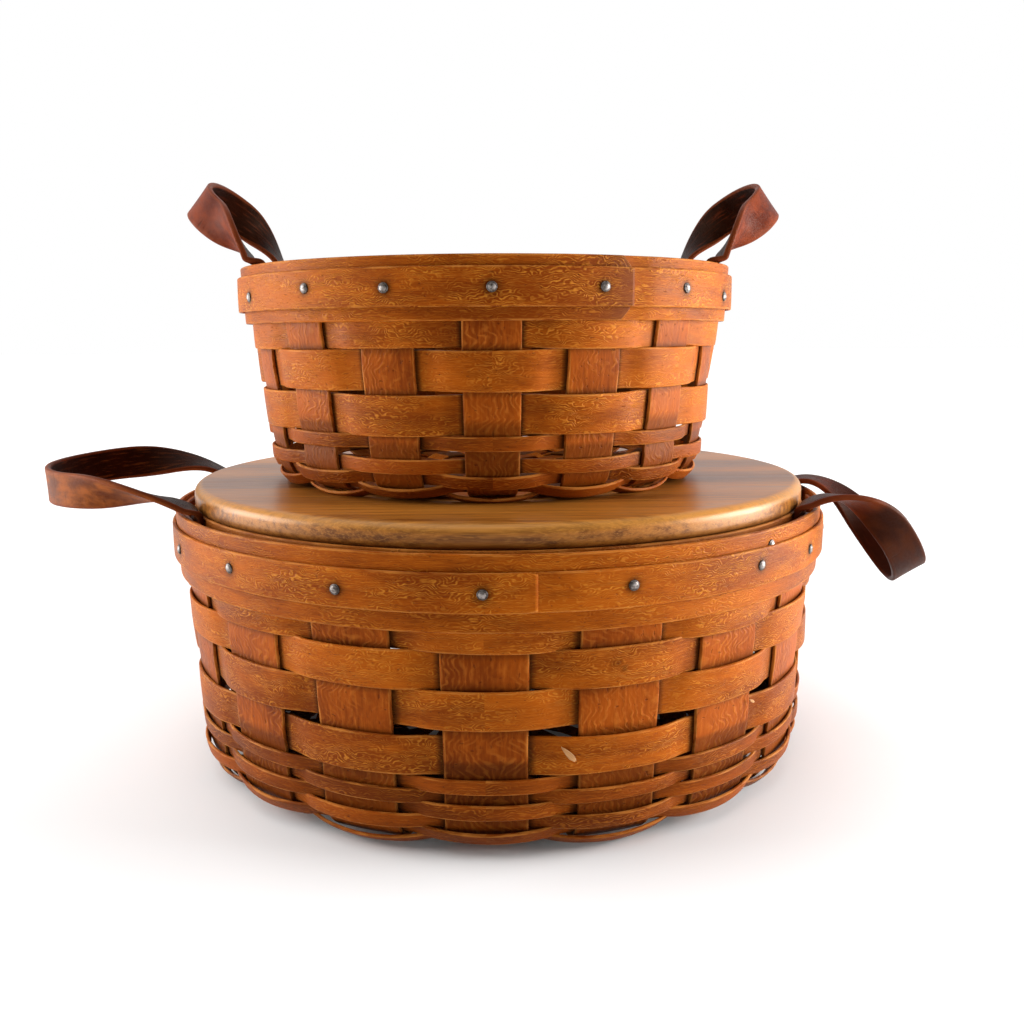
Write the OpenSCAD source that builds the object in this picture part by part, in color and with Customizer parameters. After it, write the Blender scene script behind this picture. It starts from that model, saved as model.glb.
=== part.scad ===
// Two round woven splint baskets, stacked: a large one with a turned lid, and a small one that
// stands on the lid. Millimetres, +Z up, origin on the floor under the axis of the large basket.

/* [Large basket] */
// Outside diameter of the rim band
large_rim_d = 254; // [250:1:260]
// Height from the floor to the top of the rim
large_h = 100; // [98:1:104]
// Strips that cross the base and turn up as uprights, two uprights each
large_strips = 9; // [9]
// Width of an upright at the wall, as an angle about the axis
large_upright_angle = 12.6; // [10:0.2:13.4]
// Lean of the wall away from the vertical
large_lean = 3.4; // [2:0.1:4]
// Radius of the bend where the base turns up into the wall
large_bend_r = 13; // [12:0.5:14]
// Turn of the front upright away from -Y
large_turn = -2.3; // [-5:0.1:5]
// Width of the rim bands
large_band_w = 24.2; // [22:0.1:25]
// Distance from the rim down to the top of the trim strip
large_trim_top = 5.2; // [4:0.1:6]
// Heights of the middles of the four wide weavers, from the rim down
large_wide_z = [75.3, 63.2, 50.5, 34.7];
// Distance along the wall from the base to the uppermost narrow weaver
large_narrow_start = 31.1; // [30:0.1:32]
// Distance along the wall from that one to the next narrow weaver
large_narrow_step = 4.3; // [4.3:0.1:4.5]

/* [Small basket] */
// Outside diameter of the rim band
small_rim_d = 187; // [184:1:190]
// Height from the lid to the top of the rim
small_h = 79.6; // [78:0.2:82]
// Strips that cross the base and turn up as uprights, two uprights each
small_strips = 8; // [8]
// Width of an upright at the wall, as an angle about the axis
small_upright_angle = 12.4; // [10:0.2:14]
// Lean of the wall away from the vertical
small_lean = 6.5; // [5:0.1:7]
// Radius of the bend where the base turns up into the wall
small_bend_r = 11; // [10:0.5:12]
// Turn of the front upright away from -Y
small_turn = 1.7; // [-5:0.1:5]
// Width of the rim bands
small_band_w = 20.2; // [19:0.1:21]
// Distance from the rim down to the top of the trim strip
small_trim_top = 3.6; // [3:0.1:5]
// Heights of the middles of the three wide weavers, from the rim down
small_wide_z = [57.5, 44.1, 29.6];
// Distance along the wall from the base to the uppermost narrow weaver
small_narrow_start = 24; // [23:0.1:25]
// Distance along the wall from that one to the next narrow weaver
small_narrow_step = 7.1; // [4.3:0.1:7.2]
// Place of the small basket on the lid
small_centre = [-4.5, -4.2];

/* [Splints and bands] */
// Thickness of the uprights
upright_t = 1.2; // [1:0.1:1.2]
// Thickness of the weavers
weaver_t = 1.1; // [0.9:0.1:1.1]
// Width of the wide weavers of the large basket
large_wide_w = 12; // [11:0.1:12]
// Width of the wide weavers of the small basket
small_wide_w = 13; // [12:0.1:13.2]
// Width of the narrow weavers
narrow_w = 4.1; // [3.5:0.1:4.1]
// Distance along the wall between the other narrow weavers
narrow_pitch = 4.3; // [4.3:0.1:4.4]
// Thickness of the outer rim band
band_t = 1.4; // [1:0.1:1.4]
// Width of the trim strip round the outer band
trim_w = 12.4; // [8:0.2:13]
// Thickness of the inner rim band
inner_band_t = 1.6; // [1.2:0.1:1.6]

/* [Lid] */
// Diameter of the lid
lid_d = 239.6; // [236:0.1:240]
// Thickness of the lid
lid_t = 8.1; // [6:0.1:10]
// Depth of the step that drops inside the inner band
lid_step = 3.6; // [2:0.1:5]

/* [Leather ears] */
// Width of the leather
ear_w = 14; // [13:0.5:15]
// Thickness of the leather
ear_t = 2.4; // [2:0.1:2.4]

/* [Hidden] */
$fn = 96;
play = 0.05;                    // between splints that lie on each other
weave = (upright_t + weaver_t) / 2 + play;   // weaver middle to upright middle
base_mid = weaver_t + play + upright_t / 2;  // middle height of the base strips
block_half = 0.6;               // half length of the block where a weaver changes sides
block_narrower = 0.6;           // such a block is this much narrower than its weaver
block_thinner = 0.2;
bend_steps = 8;
hub_t = 0.6;                    // the strips are shaved thin where they all cross
tack_r = 0.5;                   // shank
tack_head_r = 2.1;
tack_hole_r = tack_r + 0.08;
tack_hole_depth = 14;
tack_stand = 0.06;              // head off the trim strip
tack_dome = 0.6;                // share of the head's radius at its top
tack_head_h = 0.9;
tack_sides = 24;
tack_drop = 6.4;                // top of the trim strip down to the tacks
band_gap = 0.3;                 // uprights to outer band, at the rim
trim_t = 1.3;
band_lean = 0.22;               // how far the outer band leans in, in mm for each degree of the wall
inner_drop = 0.4;               // rim down to the top of the inner band
inner_narrower = 1;             // inner band narrower than the outer one
rim_lip = 1.2;                  // uprights end this far below the rim
base_weaver_w = 11.5;
base_weaver_pitch = 13;
base_weaver_gap = 1;            // foot of the wall to the outermost base weaver
base_block_angle = 0.45;
hub_step = [1.4, 0.6];          // in and out from the hub's edge: joins a strip's shaved middle to its ends
hub_cut = 0.1;
large_hub_r = 36;
small_hub_r = 30;
ear_lift = 2.6;                 // rim up to the fold line of an ear
ear_sections = 30;
ear_bend_steps = 24;
ear_gap = 0.8;                  // uprights to leather
inner_gap = 0.2;                // leather to inner band
ear_fold_out = 4;
ear_tab_l = 16;
ear_fold_gap = 0.25;            // tab to loop
ear_twist_end = 50;             // degrees round the loop where the leather stands on edge
lid_edge_r = 3.4;
lid_play = 1.2;
large_narrow_n = 6;
small_narrow_n = 5;
LEFT_LARGE_EAR = [-174.5, 22, 60, 30, -3, -1];
RIGHT_LARGE_EAR = [-12.3, 14.5, 53, 20, -56, -5];
LEFT_SMALL_EAR = [181.7, 22.5, 34.5, 75, 38, -2.5];
RIGHT_SMALL_EAR = [1.7, 22.5, 34.5, 75, 36, 2.5];
lid_z = large_h - 0.35;         // underside of the lid's edge, on the inner band
lid_top = lid_z + lid_t;

// One basket is a list: rim radius, height, strips, upright angle, lean, bend radius, turn, hub radius,
// width of the rim bands, and heights of the trim strip's top and of the tacks
LARGE = [large_rim_d / 2, large_h, large_strips, large_upright_angle, large_lean,
         large_bend_r, large_turn, large_hub_r, large_band_w, large_h - large_trim_top,
         large_h - large_trim_top - tack_drop];
SMALL = [small_rim_d / 2, small_h, small_strips, small_upright_angle, small_lean,
         small_bend_r, small_turn, small_hub_r, small_band_w, small_h - small_trim_top,
         small_h - small_trim_top - tack_drop];

// Middle line of an upright, from the base round the bend and up the wall
function top_r(b) = b[0] - band_t - band_gap - upright_t;
function bend_sweep(b) = 90 - b[4];
function bend_top(b) = base_mid + b[5] * (1 - cos(bend_sweep(b)));
function foot_r(b) = top_r(b) - b[5] * sin(bend_sweep(b)) - (b[1] - bend_top(b)) * tan(b[4]);
function bend_len(b) = b[5] * bend_sweep(b) * PI / 180;
function slope(b, s) = min(bend_sweep(b), s / b[5] * 180 / PI);
function along(b, s) = s < bend_len(b)
    ? [foot_r(b) + b[5] * sin(slope(b, s)), base_mid + b[5] * (1 - cos(slope(b, s)))]
    : [foot_r(b) + b[5] * sin(bend_sweep(b)) + (s - bend_len(b)) * sin(b[4]),
       bend_top(b) + (s - bend_len(b)) * cos(b[4])];
function s_at_height(b, z) = bend_len(b) + (z - bend_top(b)) / cos(b[4]);
function step(b) = 180 / b[2];
function heading(b, i) = -90 + b[6] + i * step(b);

// Radii of the rim's layers, from the outside in
function leather_r(b) = top_r(b) - upright_t / 2 - ear_gap - ear_t / 2;
function inner_out(b) = leather_r(b) - ear_t / 2 - inner_gap;

module in_large() { children(); }
module in_small() { translate([small_centre.x, small_centre.y, lid_top + play]) children(); }

// A slice of a turned ring, half_angle each side of +X
module slice(half_angle) { rotate([0, 0, -half_angle]) rotate_extrude(angle = 2 * half_angle) children(); }

// Cross-section of a splint that lies along the wall at s, moved off the middle line
module splint_section(b, s, off, w, t) {
    p = along(b, s);
    a = slope(b, s);
    translate([p.x + off * sin(a), p.y - off * cos(a)]) rotate(a) square([w, t], center = true);
}

// A weaver goes outside every other upright and inside the ones between. Inside the bend it stands off
// by the height of its flat section's arc.
module weaver(b, s, w, first_outside) {
    cross = block_half / foot_r(b) * 180 / PI;
    inside = weave + (s - w / 2 < bend_len(b) ? w * w / (8 * (b[5] - upright_t / 2)) : 0);
    for (i = [0 : 2 * b[2] - 1]) {
        outside = (i % 2 == 0) == first_outside;
        rotate([0, 0, heading(b, i)]) {
            slice(step(b) / 2 - cross / 2) splint_section(b, s, outside ? weave : -inside, w, weaver_t);
            rotate([0, 0, step(b) / 2]) slice(cross)
                splint_section(b, s, 0, w - block_narrower, 2 * weave + weaver_t - block_thinner);
        }
    }
}

module wide_weaver(b, z, w, first_outside) { weaver(b, s_at_height(b, z), w, first_outside); }

// Base weavers lie flat, over one strip and under the next
module base_weavers(b) {
    low = base_mid - weave;
    high = base_mid + weave;
    rows = floor((foot_r(b) - b[7] - 2 * base_weaver_gap) / base_weaver_pitch);
    cut = block_thinner / 2;
    for (row = [0 : rows - 1], i = [0 : 2 * b[2] - 1]) {
        r = foot_r(b) - base_weaver_gap - base_weaver_w - row * base_weaver_pitch;
        z = (i + row) % 2 == 0 ? low : high;
        rotate([0, 0, heading(b, i)]) {
            slice(step(b) / 2 - base_block_angle / 2)
                translate([r, z - weaver_t / 2]) square([base_weaver_w, weaver_t]);
            rotate([0, 0, step(b) / 2]) slice(base_block_angle)
                translate([r + cut, low - weaver_t / 2 + cut])
                    square([base_weaver_w - 2 * cut, 2 * weave + weaver_t - 2 * cut]);
        }
    }
}

// Side outline of one upright, from the hub to the rim
module upright_outline(b) {
    inner = b[5] - upright_t / 2;
    outer = b[5] + upright_t / 2;
    centre = [foot_r(b), base_mid + b[5]];
    turn = [for (i = [0 : bend_steps]) bend_sweep(b) * i / bend_steps];
    wall = [sin(b[4]), cos(b[4])] * (s_at_height(b, b[1] - rim_lip) - bend_len(b));
    out_end = centre + outer * [sin(bend_sweep(b)), -cos(bend_sweep(b))];
    in_end = centre + inner * [sin(bend_sweep(b)), -cos(bend_sweep(b))];
    polygon(concat(
        [[b[7], base_mid - upright_t / 2]],
        [for (a = turn) centre + outer * [sin(a), -cos(a)]],
        [out_end + wall, in_end + wall],
        [for (i = [bend_steps : -1 : 0]) centre + inner * [sin(turn[i]), -cos(turn[i])]],
        [[b[7], base_mid + upright_t / 2]]
    ));
}

// A strip runs up one wall, across the base and up the other; at the hub it lies on the ones before it
module strip(b, k) {
    hub_w = 2 * b[7] * sin(b[3] / 2) - 3 * hub_cut;
    base_z = base_mid - upright_t / 2;
    hub_z = k * (hub_t + play);
    foot = min(base_z, hub_z);
    head = max(base_z + upright_t / 2, hub_z + hub_t);
    difference() {
        rotate([0, 0, heading(b, k)]) {
            for (side = [0, 180]) rotate([0, 0, side]) {
                slice(b[3] / 2) upright_outline(b);
                translate([b[7] - hub_step.x, -hub_w / 2, foot])
                    cube([hub_step.x + hub_step.y, hub_w, head - foot]);
            }
            translate([1 - b[7], hub_cut - hub_w / 2, hub_z])
                cube([2 * b[7] - 2, hub_w - 2 * hub_cut, hub_t]);
        }
        tack_holes(b);
    }
}

module tack_holes(b) {
    for (i = [0 : 2 * b[2] - 1]) rotate([0, 0, heading(b, i)])
        translate([inner_out(b) - 2 * inner_band_t, 0, b[10]]) rotate([0, 90, 0])
            cylinder(r = tack_hole_r, h = tack_hole_depth, $fn = tack_sides);
}

module tacks(b) {
    head = b[0] + trim_t + tack_stand;
    shank = head - inner_out(b);
    for (i = [0 : 2 * b[2] - 1]) rotate([0, 0, heading(b, i)])
        translate([head, 0, b[10]]) rotate([0, 90, 0]) {
            cylinder(r1 = tack_head_r, r2 = tack_head_r * tack_dome, h = tack_head_h, $fn = tack_sides);
            translate([0, 0, 0.1 - shank]) cylinder(r = tack_r, h = shank, $fn = tack_sides);
        }
}

// A flat ring strip that leans in a little below the rim
module ring(b, r_out, t, top, w, lean) {
    difference() {
        rotate_extrude() polygon([[r_out - t, top], [r_out, top], [r_out - lean, top - w],
                                  [r_out - lean - t, top - w]]);
        tack_holes(b);
    }
}

module outer_band(b) { ring(b, b[0], band_t, b[1], b[8], b[4] * band_lean); }
module trim_strip(b) { ring(b, b[0] + trim_t, trim_t - play, b[9], trim_w, 0); }
module inner_band(b) {
    w = b[8] - inner_narrower;
    ring(b, inner_out(b), inner_band_t, b[1] - inner_drop, w, w * tan(b[4]));
}

module lid_disc() {
    step_r = inner_out(LARGE) - inner_band_t - lid_play;
    rotate_extrude() union() {
        translate([0, lid_z]) square([lid_d / 2, lid_t - lid_edge_r]);
        translate([0, lid_z]) square([lid_d / 2 - lid_edge_r, lid_t]);
        translate([lid_d / 2 - lid_edge_r, lid_top - lid_edge_r]) circle(r = lid_edge_r);
        translate([0, lid_z - lid_step]) square([step_r, lid_step + 1]);
    }
}

// An ear is [middle, spread, reach, first angle, last angle, roll]. Its middle and spread are angles
// about the axis of the basket. The loop is half an ellipse on a sheet that starts at the fold line
// and bends from the first angle to the last over its reach, soon after the fold; roll lifts one leg
// and drops the other.
function fold_r(b, ear) = leather_r(b) * cos(ear[1]) + ear_fold_out;
function half_span(b, ear) = leather_r(b) * sin(ear[1]);
function sheet_angle(ear, u) = ear[4] + (ear[3] - ear[4]) * pow(1 - u, 3);
function sheet(ear, u, n = ear_bend_steps) = ear[2] * u / n * [
    for (a = [0, 1]) [for (i = [0 : n - 1]) 1] *
        [for (i = [0 : n - 1]) let (t = sheet_angle(ear, u * (i + 0.5) / n)) a == 0 ? cos(t) : sin(t)]
];
function loop_point(b, ear, f) = let (p = sheet(ear, sin(f)))
    [p.x, half_span(b, ear) * cos(f), p.y + ear[5] * sin(2 * f)];
function unit(v) = v / norm(v);
function smooth(x) = let (c = max(0, min(1, x))) c * c * (3 - 2 * c);

// Four corners of the leather at f degrees round the loop. It lies flat on the sheet at its ends,
// twists along its legs and stands on edge at the tip.
function ear_section(b, ear, f) =
    let (
        a = sheet_angle(ear, sin(f)),
        normal = [-sin(a), 0, cos(a)],
        run = unit(loop_point(b, ear, f + 0.5) - loop_point(b, ear, f - 0.5)),
        across = unit(cross(run, normal)),
        twist = 180 - 90 * smooth(min(f, 180 - f) / ear_twist_end),
        width = cos(twist) * across + sin(twist) * cross(across, run),
        thick = cross(run, width)
    )
    [for (c = [[1, 1], [-1, 1], [-1, -1], [1, -1]])
        loop_point(b, ear, f) + c.x * ear_w / 2 * width + c.y * ear_t / 2 * thick];

module ear_loop(b, ear) {
    n = ear_sections;
    rotate([0, 0, ear[0]]) translate([fold_r(b, ear), 0, b[1] + ear_lift])
        polyhedron(
            points = [for (i = [0 : n]) each ear_section(b, ear, 180 * i / n)],
            faces = concat(
                [[0, 1, 2], [0, 2, 3]],
                [for (i = [0 : n - 1], c = [0 : 3])
                    each let (p = 4 * i + c, q = 4 * i + (c + 1) % 4) [[p, p + 4, q + 4], [p, q + 4, q]]],
                [[4 * n, 4 * n + 2, 4 * n + 1], [4 * n, 4 * n + 3, 4 * n + 2]]
            )
        );
}

// Ends of an ear: two tabs held between the inner band and the uprights
module ear_ends(b, ear) {
    difference() {
        for (side = [-1, 1]) rotate([0, 0, ear[0] + side * ear[1]])
            translate([leather_r(b), 0, b[1]]) rotate([0, b[4], 0])
                translate([-ear_t / 2, -ear_w / 2, -ear_tab_l])
                    cube([ear_t, ear_w, ear_tab_l + ear_lift - ear_t / 2 - ear_fold_gap]);
        tack_holes(b);
    }
}

// Every other wide weaver passes outside the front upright; the narrow ones carry on below them
function narrow_s(start, first_step, i) = start - (i == 0 ? 0 : first_step + (i - 1) * narrow_pitch);

module large_strip(i) { color("sienna") in_large() strip(LARGE, i); }
module large_wide_weaver(i) {
    color("peru") in_large() wide_weaver(LARGE, large_wide_z[i], large_wide_w, i % 2 == 0);
}
module large_narrow_weaver(i) {
    color("chocolate") in_large()
        weaver(LARGE, narrow_s(large_narrow_start, large_narrow_step, i), narrow_w, i % 2 == 0);
}
module large_base_weavers() { color("peru") in_large() base_weavers(LARGE); }
module large_outer_band() { color("peru") in_large() outer_band(LARGE); }
module large_trim_strip() { color("burlywood") in_large() trim_strip(LARGE); }
module large_inner_band() { color("tan") in_large() inner_band(LARGE); }
module large_rim_tacks() { color("dimgray") in_large() tacks(LARGE); }
module large_left_ear_ends() {
    color("saddlebrown") in_large() ear_ends(LARGE, LEFT_LARGE_EAR);
}
module large_left_ear_loop() {
    color("saddlebrown") in_large() ear_loop(LARGE, LEFT_LARGE_EAR);
}
module large_right_ear_ends() {
    color("saddlebrown") in_large() ear_ends(LARGE, RIGHT_LARGE_EAR);
}
module large_right_ear_loop() {
    color("saddlebrown") in_large() ear_loop(LARGE, RIGHT_LARGE_EAR);
}

module lid() { color("burlywood") in_large() lid_disc(); }

module small_strip(i) { color("sienna") in_small() strip(SMALL, i); }
module small_wide_weaver(i) {
    color("peru") in_small() wide_weaver(SMALL, small_wide_z[i], small_wide_w, i % 2 == 1);
}
module small_narrow_weaver(i) {
    color("chocolate") in_small()
        weaver(SMALL, narrow_s(small_narrow_start, small_narrow_step, i), narrow_w, i % 2 == 0);
}
module small_base_weavers() { color("peru") in_small() base_weavers(SMALL); }
module small_outer_band() { color("peru") in_small() outer_band(SMALL); }
module small_trim_strip() { color("burlywood") in_small() trim_strip(SMALL); }
module small_inner_band() { color("tan") in_small() inner_band(SMALL); }
module small_rim_tacks() { color("dimgray") in_small() tacks(SMALL); }
module small_left_ear_ends() {
    color("saddlebrown") in_small() ear_ends(SMALL, LEFT_SMALL_EAR);
}
module small_left_ear_loop() {
    color("saddlebrown") in_small() ear_loop(SMALL, LEFT_SMALL_EAR);
}
module small_right_ear_ends() {
    color("saddlebrown") in_small() ear_ends(SMALL, RIGHT_SMALL_EAR);
}
module small_right_ear_loop() {
    color("saddlebrown") in_small() ear_loop(SMALL, RIGHT_SMALL_EAR);
}

for (i = [1 : large_strips])
    large_strip(i - 1);
for (i = [1 : len(large_wide_z)])
    large_wide_weaver(i - 1);
for (i = [1 : large_narrow_n])
    large_narrow_weaver(i - 1);
large_base_weavers();
large_outer_band();
large_trim_strip();
large_inner_band();
large_rim_tacks();
large_left_ear_ends();
large_left_ear_loop();
large_right_ear_ends();
large_right_ear_loop();
lid();
for (i = [1 : small_strips])
    small_strip(i - 1);
for (i = [1 : len(small_wide_z)])
    small_wide_weaver(i - 1);
for (i = [1 : small_narrow_n])
    small_narrow_weaver(i - 1);
small_base_weavers();
small_outer_band();
small_trim_strip();
small_inner_band();
small_rim_tacks();
small_left_ear_ends();
small_left_ear_loop();
small_right_ear_ends();
small_right_ear_loop();
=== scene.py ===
"""Looks of two stacked round splint baskets with a turned lid and leather ears, in metres."""

import math

import bpy
import numpy as np
from mathutils import Matrix, Vector


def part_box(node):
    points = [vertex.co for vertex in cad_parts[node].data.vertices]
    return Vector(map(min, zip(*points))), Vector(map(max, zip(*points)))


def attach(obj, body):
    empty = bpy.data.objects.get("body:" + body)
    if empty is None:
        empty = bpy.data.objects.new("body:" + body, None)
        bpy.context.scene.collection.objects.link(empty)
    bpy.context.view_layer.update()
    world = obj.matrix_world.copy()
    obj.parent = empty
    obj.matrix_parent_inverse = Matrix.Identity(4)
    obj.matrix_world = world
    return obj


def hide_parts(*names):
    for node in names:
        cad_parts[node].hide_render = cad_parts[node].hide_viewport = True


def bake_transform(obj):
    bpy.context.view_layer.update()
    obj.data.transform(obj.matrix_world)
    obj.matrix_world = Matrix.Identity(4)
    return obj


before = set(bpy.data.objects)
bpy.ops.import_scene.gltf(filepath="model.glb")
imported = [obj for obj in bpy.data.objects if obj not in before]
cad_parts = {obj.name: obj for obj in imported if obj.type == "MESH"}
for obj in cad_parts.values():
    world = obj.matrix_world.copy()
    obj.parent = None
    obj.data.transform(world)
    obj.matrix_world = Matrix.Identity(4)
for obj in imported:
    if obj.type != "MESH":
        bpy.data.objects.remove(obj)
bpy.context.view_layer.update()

MM = 0.001
UPRIGHT_T = 1.2 * MM
WEAVER_T = 1.1 * MM
WEAVE = 1.2 * MM            # middle of an upright to the middle of a weaver that crosses it
BASE_MID = 1.75 * MM        # floor of a basket to the middle of its base strips
HUB_T = 0.6 * MM            # the strips are shaved thin where they all cross
HUB_PITCH = 0.65 * MM
RIM_LIP = 1.2 * MM
TACK_DROP = 6.4 * MM        # top of the trim strip to the tacks
EAR_LIFT = 2.6 * MM         # top of the outer band to where an ear turns over it
OUTER_BAND_T = 1.4 * MM
TRIM_T = 1.25 * MM
INNER_BAND_T = 1.6 * MM
LEATHER_T = 2.2 * MM
SPLINT_CORNER = 0.4 * MM    # radius of the eased corners of a splint
ROOT_DROP = 2.9 * MM        # outside of the outer band to the middle of the uprights under it
FLAKE_OFF = 2.45            # millimetres from the middle of the wall to a flake on a weaver
STATIONS_PER_UPRIGHT = 24
UV_METRES = 0.1             # metres for one unit of a UV map
ONES = np.ones
# Tacks that sit off the middle of their upright: degrees round the rim and millimetres up
TACK_NUDGES = {"large": {1: (0.4, 0.9), 2: (3.4, 0.8), 17: (-0.4, -0.4), 16: (-0.5, 0.8)},
               "small": {1: (-0.4, 0.2), 2: (-1.5, 0.4), 3: (-5.5, -1.6), 13: (6.1, -1.2), 14: (5.8, 0.6),
                         15: (1.9, 0.0)}}


# ---------------------------------------------------------------- meshes

class Shape:
    """Vertices, faces, UV corners and four marks per vertex: edge, a darkening that is mostly painted shade
    and partly stain, tone and side.
    """

    def __init__(self):
        self.verts, self.marks, self.faces, self.uvs, self.count = [], [], [], [], 0

    def add(self, verts, marks, faces, uvs):
        self.verts.append(verts)
        self.marks.append(marks)
        self.faces += [f + self.count for f in faces]
        self.uvs += uvs
        self.count += len(verts)


def section(m_outer, m_inner, rim):
    """Outline of a splint seen end on. Columns: share of the half width, corner share along the width,
    sign of the half thickness, corner share along the thickness, closeness to the edge, outer side."""
    flat = np.concatenate([[-1], np.linspace(-1 + rim, 1 - rim, m_outer - 2), [1]])
    rows = [(x, 0, 1, 1, 1 if abs(x) == 1 else 0, 1) for x in flat]
    corner = np.radians([60, 30, 0])
    rows += [(1, math.cos(c), 1, math.sin(c), 1, 1) for c in corner]
    rows += [(1, math.cos(c), -1, -math.sin(c), 1, 0) for c in corner[::-1]]
    rows += [(x, 0, -1, -1, 1 if abs(x) == 1 else 0, 0) for x in np.linspace(1, -1, m_inner)]
    rows += [(-1, -math.cos(c), -1, -math.sin(c), 1, 0) for c in corner]
    rows += [(-1, -math.cos(c), 1, math.sin(c), 1, 1) for c in corner[::-1]]
    return np.array(rows, float)


def strap(shape, mid, across, out, width, thick, corner, outline, closed=False, uv_start=(0, 0),
          sag=None, shade_and_stain=None, tone=None, crown=0.0):
    """A flat strip swept along mid, with its width along across and its outer face towards out."""
    n, k = len(mid), len(outline)
    width, thick = ONES(n) * width, ONES(n) * thick
    corner = np.minimum(corner, thick * 0.45)[:, None]
    fa, ca, fb, cb, edge, side = outline.T
    a = fa * (width[:, None] / 2 - corner) + ca * corner
    b = fb * (thick[:, None] / 2 - corner) + cb * corner
    if crown:
        b = b + crown * (1 - (2 * a / width[:, None]) ** 2)
    if sag is not None:
        b = b - sag[:, None] * a ** 2
    verts = mid[:, None] + a[..., None] * across[:, None] + b[..., None] * out[:, None]
    marks = np.zeros((n, k, 4))
    marks[..., 0], marks[..., 3] = edge, side
    if shade_and_stain is not None:
        marks[..., 1] = shade_and_stain if shade_and_stain.ndim == 2 else shade_and_stain[:, None]
    if tone is not None:
        marks[..., 2] = tone if tone.ndim == 2 else tone[:, None]
    gaps = np.linalg.norm(np.diff(np.vstack([mid, mid[:1]]) if closed else mid, axis=0), axis=1)
    u = np.concatenate([[0], np.cumsum(gaps)]) + uv_start[0]
    mean = verts[n // 2]
    round_v = np.linalg.norm(np.roll(mean, -1, axis=0) - mean, axis=1)
    v = np.concatenate([[0], np.cumsum(round_v)]) + uv_start[1]
    rows = n if closed else n - 1
    i, j = np.meshgrid(np.arange(rows), np.arange(k), indexing="ij")
    i, j = i.ravel(), j.ravel()
    i2, j2 = (i + 1) % n, (j + 1) % k
    quads = np.stack([i * k + j, i2 * k + j, i2 * k + j2, i * k + j2], 1)
    uv = np.stack([u[i], v[j], u[i + 1], v[j], u[i + 1], v[j + 1], u[i], v[j + 1]], 1)
    flat = verts.reshape(-1, 3)
    p = flat[quads[len(outline) // 8]]
    turned_in = np.dot(np.cross(p[1] - p[0], p[3] - p[0]), out[0]) < 0
    if turned_in:
        quads = quads[:, ::-1]
        uv = uv.reshape(-1, 4, 2)[:, ::-1].reshape(-1, 8)
    faces, uvs = list(quads), list(uv.reshape(-1, 4, 2) / UV_METRES)
    if not closed:
        for row, flip in ((0, turned_in), (n - 1, not turned_in)):
            cap = row * k + np.arange(k)
            cap_uv = np.stack([a[row] + uv_start[0], b[row] + uv_start[1]], 1) / UV_METRES
            faces.append(cap[::-1] if flip else cap)
            uvs.append(cap_uv[::-1] if flip else cap_uv)
    shape.add(flat, marks.reshape(-1, 4), faces, uvs)


def make(name, shape, material, nodes, body=None):
    """One piece from a Shape. It stands for CAD nodes and rides on a body."""
    verts, marks = np.vstack(shape.verts), np.vstack(shape.marks)
    totals = np.array([len(f) for f in shape.faces], np.int32)
    mesh = bpy.data.meshes.new(name)
    mesh.vertices.add(len(verts))
    mesh.vertices.foreach_set("co", verts.astype(np.float32).ravel())
    mesh.loops.add(int(totals.sum()))
    mesh.loops.foreach_set("vertex_index", np.concatenate(shape.faces).astype(np.int32))
    mesh.polygons.add(len(totals))
    mesh.polygons.foreach_set("loop_start", (np.cumsum(totals) - totals).astype(np.int32))
    mesh.polygons.foreach_set("use_smooth", ONES(len(totals), bool))
    mesh.update(calc_edges=True)
    mesh.uv_layers.new(name="grain").data.foreach_set(
        "uv", np.concatenate([np.asarray(u).ravel() for u in shape.uvs]).astype(np.float32))
    for column, mark in enumerate(("edge", "shade_and_stain", "tone", "side")):
        mesh.attributes.new(mark, "FLOAT", "POINT").data.foreach_set(
            "value", marks[:, column].astype(np.float32))
    mesh.materials.append(material)
    piece = bpy.data.objects.new(name, mesh)
    bpy.context.scene.collection.objects.link(piece)
    if body:
        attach(piece, body)
    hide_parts(*nodes)
    return piece


def smooth(x):
    x = np.clip(x, 0, 1)
    return x * x * (3 - 2 * x)


def unit(v):
    return v / np.linalg.norm(v, axis=-1, keepdims=True)


# ---------------------------------------------------------------- materials

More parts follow.
